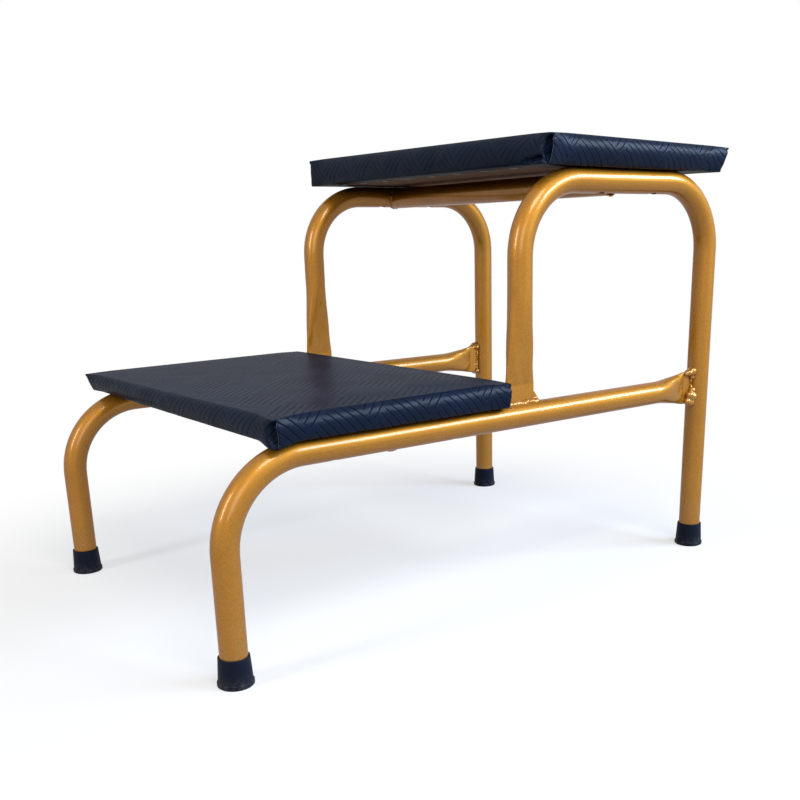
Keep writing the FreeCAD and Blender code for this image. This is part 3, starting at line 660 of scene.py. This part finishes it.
class Cover:
    """Mesh of one stapled vinyl cover: a level grid on top, then rings of columns to the fold's end."""

    # Inset of the top's level middle, shares of it where the top's rings lie, and steps of the mesh
    plateau = 50.0 * MM
    top_shares = (1.0, 0.78, 0.58, 0.40, 0.26, 0.15, 0.07)
    rim_steps, base_steps, fold_steps = 4, 5, 7
    side_step = 1.1 * MM
    # Ranges over which an effect grows or fades, along the outline from a corner
    calm_fade, drop_fade = (4 * MM, 26 * MM), (2 * MM, 26 * MM)
    tuck_growth, tuck_fade, tuck_slope = (1.5 * MM, 5 * MM), (14 * MM, 29 * MM), (5 * MM, 29 * MM)
    # Down the sheet from the rim, and from the lower edge inwards
    fold_growth, fold_fade = (2 * MM, 9 * MM), (0.0, 9 * MM)
    crease_growth, waist_growth, droop_fade = (2 * MM, 6 * MM), (0.0, 6 * MM), (0.0, 5 * MM)
    # As shares of the side's length or of the folded edge's width
    lip_setback, lip_return, closing = (0.0, 0.55), (0.7, 1.0), (0.6, 1.0)
    ragged_growth = (0.5, 1.0)
    # Shares of a fold that are lost towards the lower edge, and the form of tuck, droop and crown
    lip_returned, lip_closed, pocket_closed = 0.4, 0.4, 0.8
    tuck_height, tuck_fall, tuck_width = 5.6 * MM, 2.6 * MM, 1.5 * MM
    droop_power, crown_reach = 1.5, 45 * MM
    # Unevenness: broad and fine bumps per metre, and their heights in millimetres
    wave_scale, fine_scale = 28, 90
    top_waves, side_waves, ragged_waves = (0.3, 0.0), (0.9, 0.4), (2.2, 1.4)

    def __init__(self, level, settings):
        self.level = level
        self.settings = settings
        low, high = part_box(f"{level}_step_cover")
        self.centre = (low + high) / 2
        self.half = Vector(((high.x - low.x) / 2, (high.y - low.y) / 2))
        self.floor = low.z
        self.height = high.z - low.z
        self.base_radius = settings.upper_base_radius if level == "upper" else settings.lower_base_radius
        self.forms = {corner: CORNER_FORMS[(level, *corner)] for corner in CORNERS}
        self.end_count = int(2 * self.half.x / settings.pitch)
        self.side_count = int(2 * self.half.y / settings.pitch)
        self.rows = self.make_rows()
        self.columns = self.make_columns()

    def make_rows(self):
        form = self.settings
        profile = self.side_profile()
        self.rim_inset = profile[0][0]
        rows = []
        for part in self.top_shares:
            inset = self.rim_inset + part * (self.plateau - self.rim_inset)
            rows.append(Row(inset, inset, self.height, "top"))
        rows += [Row(inset, inset, height, "side") for inset, height in profile]
        start = profile[-1][0]
        for step in range(1, self.fold_steps + 1):
            part = step / self.fold_steps
            rows.append(Row(start + (form.fold_width - start) * part,
                            start + (form.front_fold_width - start) * part, 0.0, "fold"))
        for before, row in zip(rows, rows[1:]):
            if before.kind != "top":
                step = math.hypot(row.side_inset - before.side_inset, row.height - before.height)
                row.sheet = before.sheet + step
        self.side_length = rows[-1 - self.fold_steps].sheet
        return rows

    def side_profile(self):
        """Insets and heights of the swollen side: a rim arc, a wide arc and a base arc, each running on."""
        form = self.settings
        shoulder, hip, quarter = form.shoulder, -form.hip, math.pi / 2
        rim_drop = form.rim_radius * (1 - math.sin(shoulder))
        base_rise = self.base_radius * (1 + math.sin(hip))
        wide = (self.height - rim_drop - base_rise) / (math.sin(shoulder) - math.sin(hip))
        side_steps = round(wide * (shoulder - hip) / self.side_step)
        arcs = ((form.rim_radius, quarter, shoulder, self.rim_steps), (wide, shoulder, hip, side_steps),
                (self.base_radius, hip, -quarter, self.base_steps))
        profile = [(0.0, self.height)]
        for radius, start, end, steps in arcs:
            inset, height = profile[-1]
            for step in range(1, steps + 1):
                angle = start + (end - start) * step / steps
                profile.append((inset + radius * (math.cos(start) - math.cos(angle)),
                                height - radius * (math.sin(start) - math.sin(angle))))
        widest = min(inset for inset, height in profile)
        return [(inset - widest, height) for inset, height in profile]

    def make_columns(self):
        """Columns clockwise from above: a corner's zone, then the straight stretch after it.

        A corner's column holds its index in the zone and its place, another one the next corner and
        its share of the way there.
        """
        columns = []
        for i, corner in enumerate(CORNERS):
            side_first = corner[0] == -corner[1]
            zone = list(enumerate(ZONE))
            for index, place in zone if side_first else reversed(zone):
                columns.append(("corner", corner, index, place * MM))
            following = CORNERS[(i + 1) % 4]
            panel, count = ("end", self.end_count) if side_first else ("side", self.side_count)
            for step in range(1, count):
                columns.append((panel, corner, following, step / count))
        return columns

    def insets(self, corner, place, row):
        """Insets of a row from the side's and the end's widest planes; a pulled corner swells less."""
        if row.kind == "fold":
            return row.side_inset, row.end_inset
        calm = self.forms[corner].calm * (1 - smooth(*self.calm_fade, abs(place)))
        if row.kind == "side":
            return row.side_inset * (1 - calm), row.end_inset * (1 - calm)
        part = (row.side_inset - self.rim_inset) / (self.plateau - self.rim_inset)
        inset = row.side_inset - self.rim_inset * calm * (1 - part)
        return inset, inset

    def outline_point(self, corner, place, row):
        """Plain rounded outline near a corner: how far inward of the side's and the end's widest planes."""
        side_inset, end_inset = self.insets(corner, place, row)
        shrink = max(1 - row.side_inset / self.plateau, 0.0)
        radius = self.settings.corner_radius * shrink
        place *= shrink
        half_arc = radius * math.pi / 4
        if place <= -half_arc:
            return side_inset, end_inset + radius - place - half_arc
        if place >= half_arc:
            return side_inset + radius + place - half_arc, end_inset
        angle = (place + half_arc) / radius
        return side_inset + radius * (1 - math.cos(angle)), end_inset + radius * (1 - math.sin(angle))

    def corner_point(self, corner, index, place, row):
        """Place of a corner column on one row, with its fold."""
        across, back = self.outline_point(corner, place, row)
        if row.kind == "top":
            return across, back
        form = self.forms[corner]
        part = row.sheet / self.side_length
        closing = smooth(*self.closing, part)
        grown = smooth(*self.fold_growth, row.sheet)
        if row.kind == "fold":
            grown *= 1 - smooth(*self.fold_fade, row.sheet - self.side_length)
        entry = index - len(BEFORE_FOLD)
        if 0 <= entry < len(FOLD):
            _, fold_across, fold_back, lip, pleat = FOLD[entry]
            returned = self.lip_returned * smooth(*self.lip_return, part)
            setback = form.setback * (smooth(*self.lip_setback, part) - returned)
            if entry > LAST_LIP:
                grown *= form.pocket * (1 - self.pocket_closed * closing)
            else:
                grown *= 1 - self.lip_closed * closing
            side_inset, end_inset = self.insets(corner, place, row)
            full_across = side_inset + fold_across * MM
            full_back = end_inset + (fold_back + lip * setback + pleat * PLEAT_DEPTH) * MM
            across += (full_across - across) * grown
            back += (full_back - back) * grown
        return across, back + self.tuck_depth(form, place, row)

    def tuck_depth(self, form, place, row):
        """Slit above the roll where the end panel's lower edge is tucked under, next to a corner."""
        if form.tuck == 0 or row.kind != "side" or place < 0:
            return 0.0
        reach = smooth(*self.tuck_growth, place) * (1 - smooth(*self.tuck_fade, place))
        level = self.tuck_height - self.tuck_fall * smooth(*self.tuck_slope, place)
        return form.tuck * MM * reach * math.exp(-((row.height - level) / self.tuck_width) ** 2)

    def inward(self, corner, across, back):
        """Place that lies so far inward of the widest planes that meet at a corner."""
        return corner[0] * (self.half.x - across), corner[1] * (self.half.y - back)

    def point(self, column, row):
        """One vertex of the cover in the frame."""
        if column[0] == "corner":
            _, corner, index, place = column
            across, back = self.corner_point(corner, index, place, row)
            x, y = self.inward(corner, across, back)
        else:
            _, corner, following, part = column
            side_first = corner[0] == -corner[1]
            place = (ZONE[-1] if side_first else ZONE[0]) * MM
            across, back = self.outline_point(corner, place, row)
            last = Vector(self.inward(following, across, back))
            x, y = Vector(self.inward(corner, across, back)).lerp(last, part)
        pulled = self.soften(x, y, row)
        pulled.z -= self.corner_drop(corner, place, row)
        return pulled

    def corner_drop(self, corner, place, row):
        """How far a pulled corner lies below the top's level, and its lower edge below the board."""
        near = 1 - smooth(*self.drop_fade, abs(place))
        if row.kind == "top":
            return self.settings.corner_dip * near * max(1 - row.side_inset / self.plateau, 0.0)
        up = row.height / self.height
        droop = self.forms[corner].droop * MM * (1 - up) ** self.droop_power
        if row.kind == "fold":
            droop *= 1 - smooth(*self.droop_fade, row.sheet - self.side_length)
        return near * (self.settings.corner_dip * up + droop)

    def soften(self, x, y, row):
        """Add the crown of the top, the waist of the sides, hand-made unevenness and pulled corners."""
        form = self.settings
        z = row.height
        seed = 3.0 if self.level == "upper" else 0.0
        wave = noise.noise(Vector((x * self.wave_scale, y * self.wave_scale, seed)))
        fine = noise.noise(Vector((x * self.fine_scale, y * self.fine_scale, z * self.fine_scale + seed)))
        part_x, part_y = abs(x) / self.half.x, abs(y) / self.half.y

        def uneven(heights):
            return (heights[0] * wave + heights[1] * fine) * MM

        if row.kind == "top":
            depth = min(self.half.x - abs(x), self.half.y - abs(y))
            rise = smooth(self.rim_inset, self.crown_reach, depth)
            z += (form.crown + uneven(self.top_waves)) * rise
        elif row.kind == "side":
            level = smooth(*self.waist_growth, row.sheet)
            bow = math.cos(math.pi / 2 * min(part_x, part_y, 1.0))
            swing = (uneven(self.side_waves) - form.waist) * level * bow
            if part_x > part_y:
                x += math.copysign(swing, x)
            else:
                y += math.copysign(swing, y)
        else:
            ragged = smooth(*self.ragged_growth, (row.sheet - self.side_length) / form.fold_width)
            ragged *= uneven(self.ragged_waves)
            x -= math.copysign(ragged, x) * (part_x > part_y)
            y -= math.copysign(ragged, y) * (part_x <= part_y)
        shift = Vector((0, 0, 0))
        for corner, bend in self.forms.items():
            weight = (1 + corner[0] * x / self.half.x) * (1 + corner[1] * y / self.half.y) / 4
            shift += weight * Vector(bend.base).lerp(Vector(bend.top), row.height / self.height) * MM
        return Vector((self.centre.x + x, self.centre.y + y, self.floor + z)) + shift

    @staticmethod
    def panel_of(first, second):
        """Panel that the faces between two neighbouring columns belong to."""
        for column in (first, second):
            if column[0] != "corner":
                return column[0]
        return "side" if max(first[2], second[2]) <= TURN + len(BEFORE_FOLD) else "end"

    def sheet_place(self, panel, column, row, point):
        """Where a vertex lay on the flat sheet before it was folded."""
        x, y = point.x - self.centre.x, point.y - self.centre.y
        if row.kind == "top":
            return x, y
        side_out = self.half.x - self.rim_inset + row.sheet
        end_out = self.half.y - self.rim_inset + row.sheet
        if column[0] == "corner":
            _, corner, _, place = column
            trim = self.settings.corner_radius * (1 - math.pi / 4)
            if panel == "side":
                return corner[0] * side_out, corner[1] * (self.half.y - trim + place)
            return corner[0] * (self.half.x - trim - place), corner[1] * end_out
        if panel == "side":
            return math.copysign(side_out, x), y
        return x, math.copysign(end_out, y)

    def crease(self, column, row):
        """How far the lip's edge is painted pale where a corner is folded over: stretched sheet with a
        painted highlight.
        """
        if column[0] != "corner" or row.kind != "side":
            return 0.0
        if column[2] - len(BEFORE_FOLD) not in LIP_EDGE:
            return 0.0
        return smooth(*self.crease_growth, row.sheet)

    def top_grid(self):
        """Level middle of the top, whose border meets the innermost ring."""
        row = Row(self.plateau, self.plateau, self.height, "top")
        reach = self.half - Vector((self.plateau, self.plateau))
        grid = []
        for j in range(self.side_count + 1):
            y = reach.y * (2 * j / self.side_count - 1)
            grid.append([self.soften(reach.x * (2 * i / self.end_count - 1), y, row)
                         for i in range(self.end_count + 1)])
        return grid

    def build(self):
        """Mesh with its flat-sheet coordinates."""
        shape = bmesh.new()
        layer = shape.loops.layers.uv.new("sheet")
        stretch_and_highlight_mask = shape.verts.layers.float.new("crease")

        def add_face(corners, places):
            face = shape.faces.new(corners)
            face.smooth = True
            for loop, place in zip(face.loops, places):
                loop[layer].uv = place

        rings = [[shape.verts.new(self.point(column, row)) for column in self.columns] for row in self.rows]
        for row, ring in zip(self.rows, rings):
            # Per-vertex mask of the lip edge's pale painted highlight over stretched sheet.
            for column, vert in zip(self.columns, ring):
                vert[stretch_and_highlight_mask] = self.crease(column, row)
        for r, row in enumerate(self.rows[:-1]):
            for c, column in enumerate(self.columns):
                d = (c + 1) % len(self.columns)
                panel = self.panel_of(column, self.columns[d])
                spots = ((r, c), (r, d), (r + 1, d), (r + 1, c))
                corners = [rings[i][j] for i, j in spots]
                add_face(corners, [self.sheet_place(panel, self.columns[j], self.rows[i], rings[i][j].co)
                                   for i, j in spots])
        grid = [[shape.verts.new(point) for point in line] for line in self.top_grid()]
        for j in range(self.side_count):
            for i in range(self.end_count):
                corners = (grid[j][i], grid[j][i + 1], grid[j + 1][i + 1], grid[j + 1][i])
                add_face(corners, [(vert.co - self.centre).xy for vert in corners])
        bmesh.ops.remove_doubles(shape, verts=shape.verts, dist=0.01 * MM)
        bmesh.ops.recalc_face_normals(shape, faces=shape.faces)
        top = max(shape.faces, key=lambda face: face.calc_center_median().z)
        if top.normal.z < 0:
            bmesh.ops.reverse_faces(shape, faces=shape.faces)
        mesh = bpy.data.meshes.new(f"{self.level}_step_vinyl")
        shape.to_mesh(mesh)
        shape.free()
        return mesh


# Operators

class STOOL_OT_frame_paint(bpy.types.Operator):
    """Paint the bent tubes and the crossbars"""
    bl_idname = "stool.frame_paint"
    bl_label = "Paint the frame"

    def execute(self, context):
        settings = context.scene.stool_paint
        gold = paint_material("gold_paint", settings, settings.roughness, settings.peel_depth, settings.coat)
        paint_nodes(TUBE_NODES, gold)
        return {"FINISHED"}


class STOOL_OT_weld_beads(bpy.types.Operator):
    """Lay uneven weld beads where the tubes meet"""
    bl_idname = "stool.weld_beads"
    bl_label = "Lay the weld beads"

    def execute(self, context):
        settings = context.scene.stool_paint
        material = paint_material("painted_weld", settings, settings.weld_roughness,
                                  settings.weld_peel_depth, settings.weld_coat)
        dice = random.Random(7)
        for side, sign in SIDES:
            beads = {f"rail_end_weld_{side}": rail_end_bead(side, sign, dice),
                     f"post_weld_{side}": post_bead(side, dice)}
            for level in LEVELS:
                beads[f"{level}_crossbar_weld_{side}"] = crossbar_bead(level, sign, dice)
            for node, (blobs, prisms) in beads.items():
                name = node.replace("_weld", "_bead")
                mesh = lump_mesh(name, blobs, prisms, settings.bead_voxel)
                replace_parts(add_piece(name, mesh, material), node)
        return {"FINISHED"}


class STOOL_OT_rubber_tips(bpy.types.Operator):
    """Give the four tips their rubber"""
    bl_idname = "stool.rubber_tips"
    bl_label = "Finish the rubber tips"

    def execute(self, context):
        paint_nodes(TIP_NODES, rubber_material())
        return {"FINISHED"}


class STOOL_OT_boards(bpy.types.Operator):
    """Give the boards, staples and screws their finish"""
    bl_idname = "stool.boards"
    bl_label = "Finish the boards and fasteners"

    def execute(self, context):
        paint_nodes([f"{level}_step_board" for level in LEVELS], board_material())
        fasteners = [f"{level}_step_{kind}" for level in LEVELS for kind in ("staples", "screws")]
        paint_nodes(fasteners, steel_material())
        return {"FINISHED"}


class STOOL_OT_covers(bpy.types.Operator):
    """Fold a vinyl cover over the foam of each step"""
    bl_idname = "stool.covers"
    bl_label = "Fold the padded covers"

    def execute(self, context):
        settings = context.scene.stool_cover
        material = vinyl_material(context.scene.stool_vinyl)
        for level in LEVELS:
            mesh = Cover(level, settings).build()
            piece = add_piece(f"{level}_step_vinyl", mesh, material)
            thick = piece.modifiers.new("sheet thickness", "SOLIDIFY")
            thick.thickness = settings.thickness
            thick.offset = -1.0
            rounding = piece.modifiers.new("rounding", "SUBSURF")
            rounding.levels = 1
            rounding.render_levels = 1
            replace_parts(piece, f"{level}_step_cover", f"{level}_step_foam")
        return {"FINISHED"}


# Lamps: width and height of the lit face, and place
LAMPS = {
    "key": ((0.8, 0.6), (1.35, -0.25, 1.75)),
    "side": ((1.6, 0.62), (1.62, 1.36, 1.23)),
    "front": ((0.4, 0.9), (0.1, -2.0, 1.1)),
    "fill": ((1.0, 1.0), (1.9, -1.3, 1.0)),
}
LAMP_AIM = Vector((0.0, 0.0, 0.25))


def add_lamps(settings):
    """Soft rectangular lamps pointed at the stool; the side lamp is tinted."""
    for name, (size, place) in LAMPS.items():
        data = bpy.data.lights.new(f"{name}_lamp", "AREA")
        data.shape = "RECTANGLE"
        data.size, data.size_y = size
        data.energy = getattr(settings, f"{name}_power")
        data.color = settings.side_colour if name == "side" else WHITE
        lamp = bpy.data.objects.new(f"{name}_lamp", data)
        bpy.context.scene.collection.objects.link(lamp)
        lamp.location = place
        lamp.rotation_euler = (LAMP_AIM - Vector(place)).to_track_quat("-Z", "Y").to_euler()


def seen_directly(tree):
    """1 for rays from the camera, a mirror or glass, 0 for rays that light the stool."""
    rays = add_node(tree, "ShaderNodeLightPath").outputs
    both = calc(tree, "MAXIMUM", rays["Is Camera Ray"], rays["Is Glossy Ray"])
    return calc(tree, "MAXIMUM", both, rays["Is Transmission Ray"])


def mix_shaders(tree, factor, first, second):
    node = add_node(tree, "ShaderNodeMixShader", Fac=factor)
    tree.links.new(first, node.inputs[1])
    tree.links.new(second, node.inputs[2])
    return node.outputs["Shader"]


def add_floor(settings):
    """Pale floor that fades to white away from the stool and can be looked through from below."""
    floor_size, fade_start, fade_end, least_white = 40.0, 0.25, 0.62, 0.55
    bpy.ops.mesh.primitive_plane_add(size=floor_size)
    floor = bpy.context.active_object
    floor.name = "studio_floor"
    material, tree, surface = new_material("studio_floor")
    seen = seen_directly(tree)
    set_inputs(tree, surface, Base_Color=blend(tree, seen, settings.bounce, settings.floor),
               Roughness=0.9, Specular_IOR_Level=0.0)
    distance = add_node(tree, "ShaderNodeVectorMath", {"operation": "LENGTH"})
    plug(tree, distance.inputs[0], solid_place(tree))
    far = ramp(tree, distance.outputs["Value"], fade_start, fade_end, start=least_white)
    white = add_node(tree, "ShaderNodeEmission", Color=WHITE, Strength=1.0).outputs["Emission"]
    faded = mix_shaders(tree, calc(tree, "MULTIPLY", far, seen), surface.outputs["BSDF"], white)
    clear = add_node(tree, "ShaderNodeBsdfTransparent").outputs["BSDF"]
    from_below = add_node(tree, "ShaderNodeNewGeometry").outputs["Backfacing"]
    set_inputs(tree, tree.nodes["Material Output"], Surface=mix_shaders(tree, from_below, faded, clear))
    floor.data.materials.append(material)


def add_world(settings):
    """White surround for the eye and for reflections, softer light for the rest."""
    world = bpy.data.worlds.new("studio")
    bpy.context.scene.world = world
    world.use_nodes = True
    tree = world.node_tree
    set_inputs(tree, tree.nodes["Background"], Color=WHITE,
               Strength=blend_values(tree, seen_directly(tree), settings.fill, 1.0))


def add_camera(settings):
    """Camera at the photograph's place, with its optical centre off the middle of the image."""
    data = bpy.data.cameras.new("camera")
    camera = bpy.data.objects.new("camera", data)
    bpy.context.scene.collection.objects.link(camera)
    yaw, pitch, roll = settings.camera_yaw, settings.camera_pitch, settings.camera_roll
    ahead = Vector((-math.sin(yaw) * math.cos(pitch), math.cos(yaw) * math.cos(pitch), math.sin(pitch)))
    level_right = Vector((math.cos(yaw), math.sin(yaw), 0.0))
    level_up = level_right.cross(ahead)
    right = math.cos(roll) * level_right + math.sin(roll) * level_up
    up = math.cos(roll) * level_up - math.sin(roll) * level_right
    turn = Matrix((right, up, -ahead)).transposed()
    camera.matrix_world = Matrix.Translation(settings.camera_place) @ turn.to_4x4()
    data.sensor_width = SENSOR_WIDTH
    data.lens = settings.focal_pixels / IMAGE_SIZE * SENSOR_WIDTH
    data.shift_x = (IMAGE_SIZE / 2 - settings.centre_x) / IMAGE_SIZE
    data.shift_y = (settings.centre_y - IMAGE_SIZE / 2) / IMAGE_SIZE
    data.clip_start = 0.01
    bpy.context.scene.camera = camera


class STOOL_OT_stage(bpy.types.Operator):
    """Set up the floor, the lamps and the camera"""
    bl_idname = "stool.stage"
    bl_label = "Set the stage"

    def execute(self, context):
        settings = context.scene.stool_stage
        add_floor(settings)
        add_world(settings)
        add_lamps(settings)
        add_camera(settings)
        context.scene.view_settings.view_transform = "Standard"
        return {"FINISHED"}


class STOOL_PT_sidebar(bpy.types.Panel):
    """Steps of the finish, in order"""
    bl_label = "Step stool"
    bl_idname = "STOOL_PT_sidebar"
    bl_space_type = "VIEW_3D"
    bl_region_type = "UI"
    bl_category = "Step stool"

    def draw(self, context):
        for operator in OPERATORS:
            self.layout.operator(operator.bl_idname)
        for group, settings in SETTINGS.items():
            for name in settings.__annotations__:
                self.layout.prop(getattr(context.scene, group), name)


SETTINGS = {
    "stool_paint": PaintSettings,
    "stool_vinyl": VinylSettings,
    "stool_cover": CoverSettings,
    "stool_stage": StageSettings,
}
OPERATORS = (STOOL_OT_stage, STOOL_OT_frame_paint, STOOL_OT_weld_beads, STOOL_OT_rubber_tips,
             STOOL_OT_boards, STOOL_OT_covers)


def register():
    for group in (*SETTINGS.values(), *OPERATORS, STOOL_PT_sidebar):
        bpy.utils.register_class(group)
    for name, group in SETTINGS.items():
        setattr(bpy.types.Scene, name, PointerProperty(type=group))


def unregister():
    for name in SETTINGS:
        delattr(bpy.types.Scene, name)
    for group in (STOOL_PT_sidebar, *reversed(OPERATORS), *SETTINGS.values()):
        bpy.utils.unregister_class(group)


def main():
    register()
    bpy.ops.stool.stage()
    bpy.ops.stool.frame_paint()
    bpy.ops.stool.weld_beads()
    bpy.ops.stool.rubber_tips()
    bpy.ops.stool.boards()
    bpy.ops.stool.covers()


if __name__ == "__main__":
    main()
